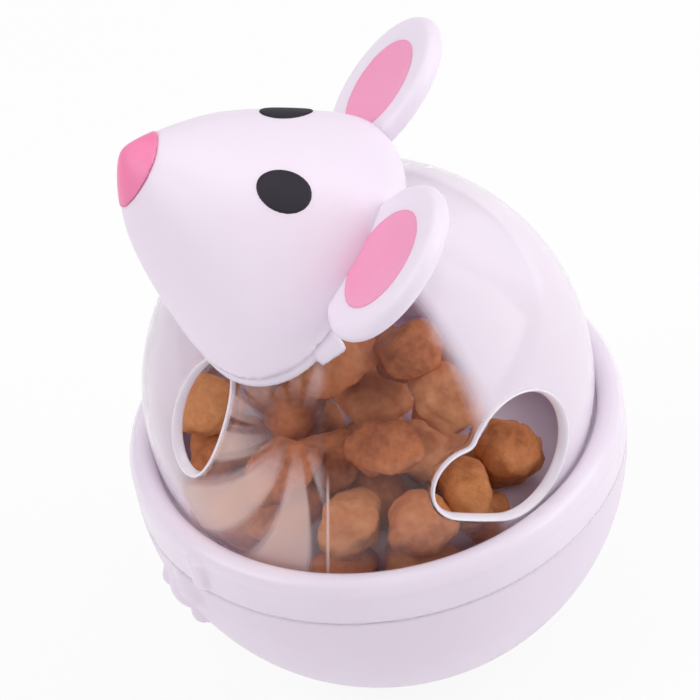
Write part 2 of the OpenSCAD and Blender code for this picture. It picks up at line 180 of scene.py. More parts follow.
noseFinish = {"light": "#FF90BA", "deep": "#FA7EAD", "cloudMm": 7, "skinMm": 0.9, "skinDepth": 0.14,
              "rough": 0.4, "ior": 1.53, "glow": 0.15}  # the same ABS, dyed through
inlayFinish = {"light": "#FFA9CC", "deep": "#FC9BC2", "cloudMm": 8, "skinMm": 0.8, "skinDepth": 0.14,
               "rough": 0.5, "ior": 1.53, "glow": 0.1}
eyeFinish = {"light": "#2E2733", "deep": "#251F2A", "cloudMm": 5, "skinMm": 0.7, "skinDepth": 0.12,
             "rough": 0.6, "ior": 1.45, "glow": 0}
edgeHighlightFinish = {"light": "#FBF5FC", "deep": "#F6EDF8", "cloudMm": 6, "skinMm": 0.8, "skinDepth": 0.06,
              "rough": 0.22, "ior": 1.59, "glow": 0.3}  # painted highlight: the clear wall's edges are painted white for the light they gather

bowlPlastic = mouldedPlastic("moulded polypropylene", bowlFinish)
collarPlastic = mouldedPlastic("polished polypropylene", collarFinish)
headPlastic = mouldedPlastic("moulded ABS white", headFinish)
earPlastic = mouldedPlastic("moulded ABS ear", earFinish)
platePlastic = mouldedPlastic("moulded ABS plate", plateFinish)
trayPlastic = mouldedPlastic("moulded polypropylene tray", trayFinish)
nosePlastic = mouldedPlastic("moulded ABS pink", noseFinish)
inlayPlastic = mouldedPlastic("moulded ABS pale pink", inlayFinish)
eyePlastic = mouldedPlastic("moulded ABS charcoal", eyeFinish)
edgeHighlightPlastic = mouldedPlastic("clear polystyrene edge painted highlight", edgeHighlightFinish)


def clearPlastic(name, finish):
    # moulded clear polystyrene: bright rims and reflections, with painted reflections that make it milky
    # white where it is seen edge-on, at the back and in front, and in hazy bands that fan out on the flanks
    material, tree = startMaterial(name)
    place = addNode(tree, "ShaderNodeTexCoord").outputs["Object"]
    axes = addNode(tree, "ShaderNodeSeparateXYZ", {0: place})
    side = addNode(tree, "ShaderNodeMath", {0: axes.outputs["X"]}, operation="ABSOLUTE")
    ahead = addNode(tree, "ShaderNodeMath", {0: axes.outputs["Y"], 1: -1}, operation="MULTIPLY")
    angle = addNode(tree, "ShaderNodeMath", {0: side.outputs[0], 1: ahead.outputs[0]}, operation="ARCTAN2")
    ripple = addNode(tree, "ShaderNodeTexNoise",
                     {"Vector": place, "Scale": perMm(finish["rippleMm"]), "Detail": 1})
    # painted reflection: the back and the front turn milky white and less clear
    rear = addNode(tree, "ShaderNodeMapRange", {
        "Value": angle.outputs[0], "From Min": math.radians(finish["rearFrom"]),
        "From Max": math.radians(finish["rearTo"]),
        "To Max": finish["rearPaintedReflection"]}, interpolation_type="SMOOTHSTEP")
    front = addNode(tree, "ShaderNodeMapRange", {
        "Value": angle.outputs[0], "From Min": math.radians(finish["frontFrom"]),
        "From Max": math.radians(finish["frontTo"]), "To Max": finish["frontPaintedReflection"]},
        interpolation_type="SMOOTHSTEP")
    # painted reflections: bands of haze by the direction from the point they fan out from, up to a thin
    # line at their edge
    fanCentre = finish["fanCentre"]
    forward = addNode(tree, "ShaderNodeMath", {0: fanCentre[0] * mm, 1: axes.outputs["Y"]}, operation="SUBTRACT")
    down = addNode(tree, "ShaderNodeMath", {0: fanCentre[1] * mm, 1: axes.outputs["Z"]}, operation="SUBTRACT")
    course = addNode(tree, "ShaderNodeMath", {0: down.outputs[0], 1: forward.outputs[0]},
                     operation="ARCTAN2")
    far = addNode(tree, "ShaderNodeCombineXYZ", {0: forward.outputs[0], 1: down.outputs[0]})
    far = addNode(tree, "ShaderNodeVectorMath", {0: far.outputs[0]}, operation="LENGTH")
    bend = math.radians(finish["bandBend"]) / mm
    course = addNode(tree, "ShaderNodeMath", {0: far.outputs["Value"], 1: bend, 2: course.outputs[0]},
                     operation="MULTIPLY_ADD")
    turns = 360 / finish["bandPitch"]
    bands = addNode(tree, "ShaderNodeMath", {0: course.outputs[0], 1: turns,
                                             2: -turns * math.radians(finish["bandGap"])},
                                             operation="MULTIPLY_ADD")
    bands = addNode(tree, "ShaderNodeMath", {0: bands.outputs[0]}, operation="COSINE")
    bands = addNode(tree, "ShaderNodeMapRange", {"Value": bands.outputs[0], "From Min": 0.7, "From Max": 0,
                                                 "To Min": finish["gapHaze"], "To Max": finish["bandPaintedReflection"]},
                    interpolation_type="SMOOTHSTEP")
    aside = addNode(tree, "ShaderNodeMath",
                    {0: down.outputs[0], 1: -finish["reflectionEdgeSlope"], 2: forward.outputs[0]},
                    operation="MULTIPLY_ADD")
    aside = addNode(tree, "ShaderNodeMath", {0: aside.outputs[0], 1: finish["reflectionEdgeAt"] * mm},
                    operation="ADD")
    near = addNode(tree, "ShaderNodeMapRange", {"Value": aside.outputs[0], "From Max": 2 * mm},
                   interpolation_type="SMOOTHSTEP")
    low = addNode(tree, "ShaderNodeMapRange",
                  {"Value": far.outputs["Value"], "From Min": finish["bandFade"][0] * mm,
                   "From Max": finish["bandFade"][1] * mm},
                  interpolation_type="SMOOTHSTEP")
    paintedReflections = addNode(tree, "ShaderNodeMath", {0: bands.outputs[0], 1: near.outputs[0]}, operation="MULTIPLY")
    paintedReflections = addNode(tree, "ShaderNodeMath", {0: paintedReflections.outputs[0], 1: low.outputs[0]}, operation="MULTIPLY")
    within = addNode(tree, "ShaderNodeMapRange", {
        "Value": angle.outputs[0], "From Min": math.radians(finish["bandFrom"]),
        "From Max": math.radians(finish["bandTo"])}, interpolation_type="SMOOTHSTEP")
    paintedReflections = addNode(tree, "ShaderNodeMath", {0: paintedReflections.outputs[0], 1: within.outputs[0]},
                    operation="MULTIPLY")
    # painted reflection: a thin milky line along the edge of the bands
    seam = addNode(tree, "ShaderNodeMath", {0: aside.outputs[0]}, operation="ABSOLUTE")
    seam = addNode(tree, "ShaderNodeMapRange",
                   {"Value": seam.outputs[0], "From Min": finish["reflectionEdgeWidth"] * mm,
                    "From Max": finish["reflectionEdgeCore"] * mm,
                                                "To Max": finish["reflectionEdgeStrength"]},
                   interpolation_type="SMOOTHSTEP")
    reflectionEdgeLow = addNode(tree, "ShaderNodeMapRange",
            {"Value": down.outputs[0], "From Min": finish["reflectionEdgeFade"][0] * mm,
             "From Max": finish["reflectionEdgeFade"][1] * mm})
    seam = addNode(tree, "ShaderNodeMath", {0: seam.outputs[0], 1: reflectionEdgeLow.outputs[0]},
                   operation="MULTIPLY")
    paintedReflections = addNode(tree, "ShaderNodeMath", {0: paintedReflections.outputs[0], 1: seam.outputs[0]}, operation="MAXIMUM")
    # painted reflection: milky white where the wall is seen edge-on
    rim = addNode(tree, "ShaderNodeLayerWeight", {"Blend": 0.35})
    rim = addNode(tree, "ShaderNodeMapRange",
                  {"Value": rim.outputs["Facing"], "From Min": finish["rimFrom"],
                   "To Max": finish["rimPaintedReflection"]})
    haze = addNode(tree, "ShaderNodeMath", {0: rear.outputs[0], 1: paintedReflections.outputs[0]}, operation="MAXIMUM")
    haze = addNode(tree, "ShaderNodeMath", {0: haze.outputs[0], 1: front.outputs[0]}, operation="MAXIMUM")
    haze = addNode(tree, "ShaderNodeMath", {0: haze.outputs[0], 1: rim.outputs[0]}, operation="MAXIMUM")
    clear = addNode(tree, "ShaderNodeMath", {0: finish["clear"], 1: haze.outputs[0]}, operation="SUBTRACT")
    bump = addNode(tree, "ShaderNodeBump",
                   {"Height": ripple.outputs["Fac"], "Strength": finish["rippleDepth"],
                                            "Distance": 0.2 * mm})
    film = addNode(tree, "ShaderNodeMapRange", {"Value": ripple.outputs["Fac"], "To Min": finish["rough"],
                                                "To Max": finish["rough"] + 0.05})
    # the painted reflection bands take a peach tint
    bandTintShare = addNode(tree, "ShaderNodeMapRange", {"Value": paintedReflections.outputs[0], "From Max": finish["bandPaintedReflection"]})
    tint = addNode(tree, "ShaderNodeMix", {0: bandTintShare.outputs[0], 6: linearColour(finish["tint"]),
                                           7: linearColour(finish["bandTint"])}, data_type="RGBA")
    shader = addNode(tree, "ShaderNodeBsdfPrincipled", {
        "Base Color": tint.outputs[2], "Roughness": film.outputs[0], "Normal": bump.outputs[0],
        "IOR": finish["ior"], "Transmission Weight": clear.outputs[0],
        "Specular Tint": (finish["mirror"], finish["mirror"], finish["mirror"], 1)})
    lampPass = addNode(tree, "ShaderNodeBsdfTransparent", {"Color": linearColour(finish["shade"])})
    path = addNode(tree, "ShaderNodeLightPath")
    both = addNode(tree, "ShaderNodeMixShader", {0: path.outputs["Is Shadow Ray"], 1: shader.outputs[0],
                                                 2: lampPass.outputs[0]})
    addNode(tree, "ShaderNodeOutputMaterial", {"Surface": both.outputs[0]})
    return material


domeFinish = {"tint": "#F6EEF7", "shade": "#FAF7FA", "ior": 1.5, "rough": 0.02, "rippleMm": 9,
              "rippleDepth": 0.06,
              "clear": 1, "rearFrom": 121, "rearTo": 131, "rearPaintedReflection": 0.7, "frontFrom": 46, "frontTo": 34,
              "frontPaintedReflection": 0.42, "rimFrom": 0.42, "rimPaintedReflection": 0.6, "mirror": 0.4, "fanCentre": (-9, 74.5),
              "bandPitch": 30, "bandGap": 71,
              "bandBend": 0.35, "bandFrom": 30, "bandTo": 42, "bandFade": (2, 14), "bandPaintedReflection": 0.42,
              "gapHaze": 0.02, "bandTint": "#F8DFD6",
              "reflectionEdgeSlope": 0.146, "reflectionEdgeAt": 5.2, "reflectionEdgeWidth": 0.3, "reflectionEdgeCore": 0.1, "reflectionEdgeFade": (7, 11),
              "reflectionEdgeStrength": 0.4}
domePlastic = clearPlastic("clear polystyrene", domeFinish)


def steel(name, colour, rough, grainMm):
    # turned or plated steel: fine rings of scratches that spread the highlight
    material, tree = startMaterial(name)
    place = addNode(tree, "ShaderNodeTexCoord").outputs["Object"]
    rings = addNode(tree, "ShaderNodeTexWave",
                    {"Vector": place, "Scale": perMm(grainMm) / 20, "Distortion": 1.5,
                                                "Detail": 2}, wave_type="RINGS", rings_direction="Z")
    gloss = addNode(tree, "ShaderNodeMapRange",
                    {"Value": rings.outputs["Fac"], "To Min": rough, "To Max": rough + 0.12})
    shader = addNode(tree, "ShaderNodeBsdfPrincipled", {"Base Color": linearColour(colour), "Metallic": 1,
                                                        "Roughness": gloss.outputs[0]})
    addNode(tree, "ShaderNodeOutputMaterial", {"Surface": shader.outputs[0]})
    return material


weightSteel = steel("turned steel", "#8C8F94", 0.34, 0.6)
screwSteel = steel("zinc plated steel", "#B4B6BA", 0.24, 0.3)


def bakedKibble(name, finish):
    # extruded and dried kibble: brown crumb with darker pits, rubbed lighter on its high spots
    material, tree = startMaterial(name)
    place = addNode(tree, "ShaderNodeTexCoord").outputs["Object"]
    each = addNode(tree, "ShaderNodeNewGeometry")
    crumb = addNode(tree, "ShaderNodeTexNoise",
                    {"Vector": place, "Scale": perMm(finish["crumbMm"]), "Detail": 6,
                                                 "Roughness": 0.65})
    patch = addNode(tree, "ShaderNodeTexNoise",
                    {"Vector": place, "Scale": perMm(finish["patchMm"]), "Detail": 3})
    pits = addNode(tree, "ShaderNodeTexVoronoi", {"Vector": place, "Scale": perMm(finish["pitMm"])})
    tone = addNode(tree, "ShaderNodeMath", {0: patch.outputs["Fac"], 1: crumb.outputs["Fac"]},
                   operation="ADD")
    batch = addNode(tree, "ShaderNodeMath",
                    {0: each.outputs["Random Per Island"], 1: finish["batchShare"]}, operation="MULTIPLY")
    tone = addNode(tree, "ShaderNodeMath",
                   {0: tone.outputs[0], 1: finish["toneShare"], 2: batch.outputs[0]},
                   operation="MULTIPLY_ADD")
    tone = addNode(tree, "ShaderNodeMapRange", {"Value": tone.outputs[0], "From Min": 0.4, "From Max": 1.1})
    ramp = addNode(tree, "ShaderNodeValToRGB", {"Fac": tone.outputs[0]})
    ramp.color_ramp.elements[0].color = linearColour(finish["dark"])
    ramp.color_ramp.elements[1].color = linearColour(finish["light"])
    ramp.color_ramp.elements.new(0.45).color = linearColour(finish["middle"])
    height = addNode(tree, "ShaderNodeMath", {0: pits.outputs["Distance"], 1: 0.6, 2: crumb.outputs["Fac"]},
                     operation="MULTIPLY_ADD")
    bump = addNode(tree, "ShaderNodeBump",
                   {"Height": height.outputs[0], "Strength": finish["bump"],
                    "Distance": finish["bumpMm"] * mm})
    shader = addNode(tree, "ShaderNodeBsdfPrincipled", {
        "Base Color": ramp.outputs["Color"], "Roughness": finish["rough"], "Normal": bump.outputs[0],
        "IOR": 1.45})
    addNode(tree, "ShaderNodeOutputMaterial", {"Surface": shader.outputs[0]})
    return material


kibbleFinish = {"dark": "#96572F", "middle": "#D0874F", "light": "#EAB175", "crumbMm": 1.6, "patchMm": 6,
                "pitMm": 2.2, "toneShare": 0.6, "batchShare": 0.3, "bump": 0.7, "bumpMm": 0.6,
                "rough": 0.72}
kibbleCrumb = bakedKibble("baked kibble", kibbleFinish)
print("materials made")

# Bowl
bowl = {"radius": 43, "footRadius": 11, "wall": 2.2, "rimDrop": 1.5, "rimWall": 1.8, "rimRadius": 39.4,
        "shelf": 3,
        "pedestalRadius": 13, "pedestalHeight": 5, "lugDepth": 1.1, "lugHeight": 1.5, "lugAngle": 26,
        "pocketRadius": 4, "pocketHeight": 2.6, "holeRadius": 1.8, "armAngle": 46, "padRadius": 5,
        "toeRadius": 2.2,
        "relief": 1.6, "softness": 0.8, "cell": 0.6}
bodyZ = math.sqrt(bowl["radius"] ** 2 - bowl["footRadius"] ** 2)
rimZ = bodyZ - bowl["rimDrop"]
collar = {"lipRise": 7.1, "lipRadius": 2.25, "lipInset": 0.2, "wall": 2.2, "knobRadius": 2.1,
          "knobRelief": 1.4,
          "knobEnds": ((46, 0.8), (45.2, 6)), "gap": 0.3, "seam": 0.06, "cell": 0.5}
lipZ = bodyZ + collar["lipRise"] - collar["lipRadius"]
lipMid = bowl["radius"] - collar["lipInset"] - collar["lipRadius"]
boreRadius = bowl["radius"] - collar["wall"]
dome = {"radius": 38.6, "rise": 13.2, "wall": 1.7, "flange": 1.6, "frontSize": (5.6, 11.25),
        "frontAngle": 42, "frontTilt": 25.5, "frontRoll": -10, "smallLobe": 6.2, "largeLobe": 11,
        "spread": 10.4,
        "rearAngle": 133.5, "rearTilt": 6.5, "rearRoll": -6.5, "neckLean": 21, "neckBore": 13.08,
        "bossRadius": 16.4, "bossDepth": 5.4, "edge": 0.7, "cell": 0.42}
flangeTop = lipZ - 0.25
flangeLow = flangeTop - dome["flange"]
rimTop = flangeLow - collar["gap"]
domeCentre = np.array([0, 0, bodyZ + dome["rise"]])


def onBall(angle, tilt, out):
    # a point on the ball, by its angle from straight ahead and its elevation
    a, t = math.radians(angle), math.radians(tilt)
    return np.array([math.sin(a) * math.cos(t) * out, -math.cos(a) * math.cos(t) * out,
                     bodyZ + math.sin(t) * out])


def pawBalls():
    pads = [(-7, -7, bowl["padRadius"]), (-15, -15, bowl["padRadius"])]
    toes = [(-19.5 + i * 4.5, -21 - i * 3.5, bowl["toeRadius"]) for i in (-1, 0, 1)]
    return [(onBall(bowl["armAngle"] + turn, tilt, bowl["radius"] + bowl["relief"] - size), size)
            for turn, tilt, size in pads + toes]


def bowlField(p):
    x, y, z = np.abs(p[..., 0]), p[..., 1], p[..., 2]
    rho, fromMid = lengthOf(x, y), lengthOf(x, y, z - bodyZ)
    angle = np.arctan2(y, p[..., 0])
    outer = fromMid - bowl["radius"]
    for centre, size in pawBalls():
        outer = softMin(outer, lengthOf(x - centre[0], y - centre[1], z - centre[2]) - size,
                        bowl["softness"])
    rimIn = bowl["rimRadius"] - bowl["rimWall"]
    pedestal = np.maximum(rho - bowl["pedestalRadius"], z - bowl["pedestalHeight"])
    shelf = np.maximum(rimIn - rho, rimZ - bowl["shelf"] - z)
    hollow = softMax(softMax(fromMid - bowl["radius"] + bowl["wall"], -pedestal, 0.6), -shelf, 0.5)
    shell = softMax(softMax(softMax(outer, z - rimZ, 0.25), -z, 0.8), -hollow, 0.4)
    rim = np.maximum.reduce([rho - bowl["rimRadius"], rimIn - rho, z - rimTop,
                             rimZ - bowl["shelf"] / 2 - z])
    lugTop = rimTop - 0.2
    lugs = ringLug(rho, angle, z, bowl["rimRadius"] - 0.6, bowl["rimRadius"] + bowl["lugDepth"],
                   lugTop - bowl["lugHeight"], lugTop, bowl["lugAngle"], 0, 4)
    solid = softMin(softMin(shell, rim, 0.3), lugs, 0.2)
    pocket = np.minimum(np.maximum(rho - bowl["pocketRadius"], z - bowl["pocketHeight"]),
                        rho - bowl["holeRadius"])
    return softMax(solid, -pocket, 0.3)


reach = bowl["radius"] + bowl["relief"] + 1
bowlPiece = skinField("bowl", bowlField, (-reach, -reach, -1.2), (reach, reach, rimTop + 1.2), bowl["cell"])
dress(bowlPiece, "base", "base_bowl", bowlPlastic)
print("bowl made", len(bowlPiece.data.polygons))


# Collar with its rounded lip
def collarField(p):
    x, y, z = np.abs(p[..., 0]), p[..., 1], p[..., 2]
    rho, fromMid = lengthOf(x, y), lengthOf(x, y, z - bodyZ)
    angle = np.arctan2(y, p[..., 0])
    low = rimZ + collar["seam"]
    # oval shoulder knob, as a capsule between its two ends
    knobLow, knobHigh = (onBall(turn, tilt, bowl["radius"] + collar["knobRelief"] - collar["knobRadius"])
                         for turn, tilt in collar["knobEnds"])
    step, beside = knobHigh - knobLow, np.stack([x, y, z], -1) - knobLow
    along = np.clip(beside @ step / (step @ step), 0, 1)
    knob = np.linalg.norm(beside - along[..., None] * step, axis=-1) - collar["knobRadius"]
    outer = softMin(fromMid - bowl["radius"], knob, 0.5)
    band = softMax(softMax(outer, low - z, 0.25), np.maximum(z - lipZ, boreRadius - 0.3 - rho), 0.3)
    lip = lengthOf(rho - lipMid, z - lipZ) - collar["lipRadius"]
    bore = np.maximum(rho - boreRadius, z - flangeTop)
    body = softMax(softMin(band, lip, 0.8), -bore, 0.3)
    lugTop = rimTop - 0.2 - bowl["lugHeight"] - collar["gap"]
    lugs = ringLug(rho, angle, z, boreRadius - bowl["lugDepth"], boreRadius + 0.4, low, lugTop,
                   bowl["lugAngle"], 0, 4)
    return softMin(body, lugs, 0.2)


collarPiece = skinField("collar", collarField, (-reach, -reach, rimZ - 1), (reach, reach, lipZ + 3.4),
                        collar["cell"])
dress(collarPiece, "dome", "collar_ring", collarPlastic)
print("collar made", len(collarPiece.data.polygons))


# Clear dome with beaded outlets and the neck boss
def facing(angle, tilt, roll):
    # across, up and outward directions of an outlet on the dome
    a, t, r = math.radians(angle), math.radians(tilt), math.radians(roll)
    level = np.array([math.cos(a), math.sin(a), 0])
    outward = np.array([math.sin(a) * math.cos(t), -math.cos(a) * math.cos(t), math.sin(t)])
    upright = np.cross(outward, level)
    return math.cos(r) * level + math.sin(r) * upright, math.cos(r) * upright - math.sin(r) * level, outward


def frontOutline(u, v):
    a, b = dome["frontSize"]
    near, slope = lengthOf(u / a, v / b), lengthOf(u / a ** 2, v / b ** 2)
    return near * (near - 1) / np.maximum(slope, 1e-4)


def rearOutline(u, v):
    # two round lobes with a straight edge under them and a notch over them
    small, large, spread = dome["smallLobe"], dome["largeLobe"], dome["spread"]
    left = -spread
    lobes = softMin(lengthOf(u - left, v) - small, lengthOf(u, v) - large, 1.2)
    lean = math.asin((large - small) / spread)
    edge = -(u - left) * math.sin(lean) - v * math.cos(lean) - small
    along = (u - left) * math.cos(lean) - v * math.sin(lean)
    web = np.maximum.reduce([edge, -along, along - spread * math.cos(lean), v])
    return np.minimum(lobes, web)


neckAxis = np.array([0, -math.sin(math.radians(dome["neckLean"])),
                     math.cos(math.radians(dome["neckLean"]))])
neckSide = np.cross(neckAxis, (1, 0, 0))
outlets = [(facing(dome["frontAngle"], dome["frontTilt"], dome["frontRoll"]), frontOutline),
           (facing(dome["rearAngle"], dome["rearTilt"], dome["rearRoll"]), rearOutline)]


def outletEdge(q):
    # distance across the wall to the nearest outlet's edge, negative within the outlet
    mirrored = np.concatenate([np.abs(q[..., :1]), q[..., 1:]], -1)
    edges = [np.where(mirrored @ outward > 0, outline(mirrored @ across, mirrored @ up), 99)
             for (across, up, outward), outline in outlets]
    return np.minimum(*edges)


def domeField(p):
    q = p - domeCentre
    fromMid, rho, z = lengthOf(q[..., 0], q[..., 1], q[..., 2]), lengthOf(p[..., 0], p[..., 1]), p[..., 2]
    wall = np.abs(fromMid - dome["radius"] + dome["wall"] / 2) - dome["wall"] / 2
    shell = softMax(wall, flangeLow - z, 0.4)
    flange = np.maximum.reduce([rho - boreRadius + collar["gap"], dome["radius"] - dome["wall"] - rho,
                                flangeLow - z, z - flangeTop])
    solid = softMin(shell, flange, 0.4)
    along, sideways = q @ neckAxis, q @ neckSide
    fromAxis = lengthOf(q[..., 0], sideways)
    edge = outletEdge(q)
    boss = np.maximum.reduce([fromAxis - dome["bossRadius"], dome["radius"] - dome["bossDepth"] - along,
                              fromMid - dome["radius"]])
    solid = softMin(solid, boss, 0.8)
    solid = softMax(solid, -edge, dome["edge"])
    turn = np.arctan2(sideways, q[..., 0])
    notch = ringLug(fromAxis, turn, along, dome["neckBore"] - 1, 15.7, 20, 60, 44, 60, 2)
    return softMax(solid, -np.minimum(np.maximum(fromAxis - dome["neckBore"], 20 - along), notch), 0.3)


span = boreRadius + 0.8
domePiece = skinField("dome", domeField, (-span, -span, flangeLow - 1.2),
                      (span, span, domeCentre[2] + 40), dome["cell"])
dress(domePiece, "dome", "clear_dome", domePlastic)
print("dome made", len(domePiece.data.polygons))

# Rolled rim round each outlet, as deep as the dome's wall, painted white as a highlight
rim = {"steps": 240, "ring": 12, "across": 0.34, "deep": 1.05, "start": (-8, -1)}


def outlinePoints(outline, start):
    # walks round the outline, which is seen whole from the start point, in even steps
    turn = np.linspace(0, math.tau, 4 * rim["steps"], endpoint=False)
    near, far = np.zeros(len(turn)), np.full(len(turn), 40.0)
    for halving in range(40):
        middle = (near + far) / 2
        inside = outline(start[0] + middle * np.cos(turn), start[1] + middle * np.sin(turn)) < 0
        near, far = np.where(inside, middle, near), np.where(inside, far, middle)
    path = np.stack([start[0] + near * np.cos(turn), start[1] + near * np.sin(turn)], -1)
    walked = np.concatenate([[0], np.linalg.norm(np.diff(path, axis=0, append=path[:1]), axis=1).cumsum()])
    even = np.linspace(0, walked[-1], rim["steps"], endpoint=False)
    closed = np.concatenate([path, path[:1]])
    return np.stack([np.interp(even, walked, closed[:, i]) for i in (0, 1)], -1)


def rimMesh(directions, outline, start):
    across, up, outward = directions
    flat = outlinePoints(outline, start)
    middleRadius = dome["radius"] - dome["wall"] / 2
    depth = np.sqrt(middleRadius ** 2 - (flat ** 2).sum(1))
    spine = flat[:, :1] * across + flat[:, 1:] * up + depth[:, None] * outward
    out = spine / middleRadius
    along = np.roll(spine, -1, 0) - np.roll(spine, 1, 0)
    sideways = np.cross(along / np.linalg.norm(along, axis=1, keepdims=True), out)
    turn = np.linspace(0, math.tau, rim["ring"], endpoint=False)
    points = spine[:, None] + rim["across"] * np.cos(turn)[:, None] * sideways[:, None]
    points = points + rim["deep"] * np.sin(turn)[:, None] * out[:, None] + domeCentre
    step, ring = np.meshgrid(np.arange(rim["steps"]), np.arange(rim["ring"]), indexing="ij")
    nextStep, nextRing = (step + 1) % rim["steps"], (ring + 1) % rim["ring"]
    corners = [(step, ring), (step, nextRing), (nextStep, nextRing), (nextStep, ring)]
    faces = np.stack([a * rim["ring"] + b for a, b in corners], -1).reshape(-1, 4)
    return points.reshape(-1, 3), faces


for name, (directions, outline), start in zip(("Front", "Rear"), outlets, ((0, 0), rim["start"])):
    rimLeft = meshPiece("outletRim" + name + "Left", *rimMesh(directions, outline, start))
    rimRight = mirrorPiece(rimLeft, "outletRim" + name + "Right")
    for piece in (rimLeft, rimRight):
        piece.data.materials.clear()
        piece.data.materials.append(edgeHighlightPlastic)
        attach(piece, "dome")
print("outlet rims made")

# Head: a soft convex form stretched over balls, measured from the neck's seat
head = {"balls": [(0, -16.5, 16.5, 2.8), (4, -12.8, 6.2, 7.6), (6, -3, 6.5, 11.5), (6, 14.5, 3.5, 11.5),
                  (14.5, 3.5, -7.5, 14.5), (7, -7.5, -2.5, 9)], "softness": 0.9, "trim": 0.3, "cell": 0.7,
        "plateIn": 39, "plateOut": 40.6, "noseAt": (0, -16, 15), "nosePitch": 50, "noseProud": 0.25}
neckSeat = domeCentre + dome["radius"] * neckAxis
headBalls = np.array([(side * x, y, z, r) for x, y, z, r in head["balls"] for side in (1, -1)])
ballCentres, ballSizes = headBalls[:, :3] + neckSeat, headBalls[:, 3] - head["trim"]


def support(normals):
    # how far the form reaches along each normal, with a soft hand-over from ball to ball
    reachOut = (normals @ ballCentres.T + ballSizes) / head["softness"]
    top = reachOut.max(-1)
    return head["softness"] * (top + np.log(np.exp(reachOut - top[..., None]).sum(-1) / 2))


turnStep = np.arange(1200)
rise = 1 - 2 * (turnStep + 0.5) / len(turnStep)
golden = turnStep * math.pi * (3 - math.sqrt(5))
headNormals = np.stack([np.sqrt(1 - rise ** 2) * np.cos(golden), np.sqrt(1 - rise ** 2) * np.sin(golden),
                        rise], -1)
headReach = support(headNormals)
nudges = np.array([(a, b, c) for a in (-1, 0, 1) for b in (-1, 0, 1) for c in (-1, 0, 1)], float)


def headNormal(points, rounds):
    # the outward normal of the head nearest to each point
    found = []
    for part in np.array_split(points, len(points) // 20000 + 1):
        score = part.astype(np.float32) @ headNormals.T.astype(np.float32) - headReach.astype(np.float32)
        best = headNormals[score.argmax(1)]
        step = 0.06
        for i in range(rounds):
            trial = best[:, None] + step * nudges
            trial /= np.linalg.norm(trial, axis=-1, keepdims=True)
            pick = ((trial * part[:, None]).sum(-1) - support(trial)).argmax(1)
            best = trial[np.arange(len(part)), pick]
            step *= 0.5
        found.append(best)
    return np.concatenate(found)


kept = {"points": np.zeros((0, 3))}


def headField(p):
    if p.ndim == 2:  # the skin's own points: find their normals with care and keep them for the slope steps
        if len(p) != len(kept["points"]) or np.abs(p - kept["points"]).max() > 0.05:
            kept["points"], kept["normals"] = p.copy(), headNormal(p, 9)
            kept["reach"] = support(kept["normals"])
        return (p * kept["normals"]).sum(-1) - kept["reach"]
    flat = p.reshape(-1, 3)
    normals = headNormal(flat, 0)
    return ((flat * normals).sum(-1) - support(normals)).reshape(p.shape[:-1])


noseAxis = np.array([0, -math.sin(math.radians(head["nosePitch"])),
                     math.cos(math.radians(head["nosePitch"]))])
nosePoint = neckSeat + np.array(head["noseAt"])


def headShellField(p):
    seat = head["plateOut"] + 0.05 - np.linalg.norm(p - domeCentre, axis=-1)
    front = (p - nosePoint) @ noseAxis + 0.05
    return softMax(softMax(headField(p), seat, 0.6), front, 0.3)


headLow = (ballCentres - ballSizes[:, None]).min(0) - 2
headHigh = (ballCentres + ballSizes[:, None]).max(0) + 2
headPiece = skinField("head", headShellField, headLow, headHigh, head["cell"])
dress(headPiece, "head", "head_shell", headPlastic)
print("head made", len(headPiece.data.polygons))


def noseField(p):
    return softMax(headField(p) - head["noseProud"], -(p - nosePoint) @ noseAxis, 0.4)


nosePiece = skinField("nose", noseField, nosePoint - 12, nosePoint + 12, 0.4)
dress(nosePiece, "head", "nose_tip", nosePlastic)
print("nose made", len(nosePiece.data.polygons))

# Base plate under the head, with its thumb tabs and the spigot in the neck
plate = {"tabWidth": 5, "tabAngle": 19, "tabReach": 28, "spigotRadius": 13, "spigotWall": 2.2,
         "lugDepth": 2.4,
         "lugHeight": 1.8, "lugAngle": 40, "holeRadius": 1.8, "cell": 0.42}
lugLow = dome["radius"] - dome["bossDepth"] - collar["gap"] - plate["lugHeight"]


def plateField(p):
    q = p - domeCentre
    fromMid = np.linalg.norm(q, axis=-1)
    along, sideways = q @ neckAxis, q @ neckSide
    fromAxis, turn = lengthOf(q[..., 0], sideways), np.arctan2(sideways, q[..., 0])
    t = math.radians(plate["tabAngle"])
    out = np.abs(q[..., 0]) * math.cos(t) + sideways * math.sin(t)
    beside = np.abs(-np.abs(q[..., 0]) * math.sin(t) + sideways * math.cos(t))
    tab = softMax(np.maximum(out - plate["tabReach"], plate["spigotRadius"] - out),
                  beside - plate["tabWidth"] / 2, 0.6)
    sheet = np.maximum(head["plateIn"] - fromMid, fromMid - head["plateOut"])
    solid = softMax(softMin(headField(p) + 0.15, np.maximum(tab, 10 - along), 0.4), sheet, 0.6)
    spigot = np.maximum.reduce([fromAxis - plate["spigotRadius"], lugLow - along,
                                fromMid - head["plateOut"]])
    lugs = ringLug(fromAxis, turn, along, plate["spigotRadius"] - 1,
                   plate["spigotRadius"] + plate["lugDepth"],
                   lugLow, lugLow + plate["lugHeight"], plate["lugAngle"], 0, 2)
    solid = softMin(softMin(solid, spigot, 0.2), lugs, 0.2)
    hollow = np.maximum(fromAxis - plate["spigotRadius"] + plate["spigotWall"], fromMid - head["plateIn"])
    return softMax(solid, -np.minimum(hollow, fromAxis - plate["holeRadius"]), 0.3)


plateMid = domeCentre + 34 * neckAxis
platePiece = skinField("headPlate", plateField, plateMid - (31, 31, 16), plateMid + (31, 31, 14),
                       plate["cell"])
dress(platePiece, "head", "head_base", platePlastic)
print("head plate made", len(platePiece.data.polygons))

